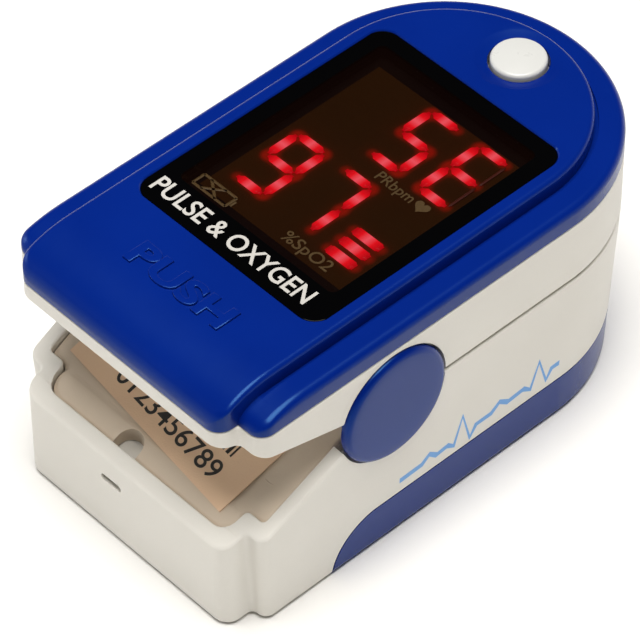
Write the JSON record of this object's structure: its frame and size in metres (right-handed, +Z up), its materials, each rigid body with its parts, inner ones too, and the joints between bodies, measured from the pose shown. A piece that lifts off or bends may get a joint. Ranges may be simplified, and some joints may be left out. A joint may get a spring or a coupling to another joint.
{
  "type": "fingertip pulse oximeter",
  "caption": "Spring clip fingertip pulse oximeter with display window, push button, soft finger channel and sliding battery cover.",
  "frame": {"origin": "middle of the underside, at the centre of the bounding box in plan", "axes": "+X across the jaws, +Y from the push end to the finger end, +Z up through the display"},
  "size_m": [0.036, 0.061, 0.032],
  "materials": {
    "blue_plastic": "satin moulded",
    "white_plastic": "satin moulded",
    "button_plastic": "smooth",
    "smoked_window": "polished",
    "display_case": "matt",
    "lit_segment": "glowing",
    "circuit_board": "solder mask",
    "chip_package": "matt",
    "clear_lens": "polished",
    "silicone": "matt",
    "steel": "bright",
    "spring_steel": "drawn wire",
    "contact_nickel": "nickel plated",
    "battery_jacket": "printed film",
    "paper": "uncoated paper",
    "polyimide": "film",
    "connector_plastic": "matt"
  },
  "bodies": {
    "lower_jaw": {"lower_body": "white_plastic", "inner_panel": "white_plastic", "panel_label": "paper", "panel_screws": "steel", "battery_left": "battery_jacket", "battery_right": "battery_jacket", "front_contacts": "contact_nickel", "rear_contact": "contact_nickel", "front_contact_spring": "contact_nickel", "rear_contact_spring": "contact_nickel", "sensor_board": "circuit_board", "photodiode": "chip_package", "sensor_lens": "clear_lens", "lower_finger_pad": "silicone", "hinge_pin": "steel", "hinge_cap_right": "blue_plastic", "hinge_cap_left": "blue_plastic", "torsion_spring": "spring_steel", "power_connector": "connector_plastic", "flex_ribbon": "polyimide"},
    "upper_jaw": {"upper_shell": "white_plastic", "case_screws": "steel", "top_cover": "blue_plastic", "display_window": "smoked_window", "main_board": "circuit_board", "display_module": "display_case", "display_segments": "lit_segment", "processor_chip": "chip_package", "amplifier_chip": "chip_package", "board_components": "chip_package", "tact_switch": "chip_package", "emitter_led": "clear_lens", "emitter_lens": "clear_lens", "upper_finger_pad": "silicone"},
    "button": {"power_button": "button_plastic", "switch_plunger": "connector_plastic"},
    "cover": {"battery_cover": "blue_plastic"}
  },
  "joints": [
    {"name": "jaw_hinge", "type": "hinge", "parent": "lower_jaw", "child": "upper_jaw", "pos_m": [0, -0.0109, 0.02], "axis": [1, 0, 0], "range_deg": [0, 30], "stiffness_Nm_per_rad": 0.06, "springref_deg": -40.11, "deforming": ["torsion_spring", "flex_ribbon"]},
    {"name": "button_press", "type": "slide", "parent": "upper_jaw", "child": "button", "axis": [0, 0, -1], "range_m": [0, 0.0004], "stiffness_N_per_m": 800, "springref_m": -0.0005},
    {"name": "battery_cover_slide", "type": "slide", "parent": "lower_jaw", "child": "cover", "axis": [0, 1, 0], "range_m": [0, 0.05]}
  ]
}
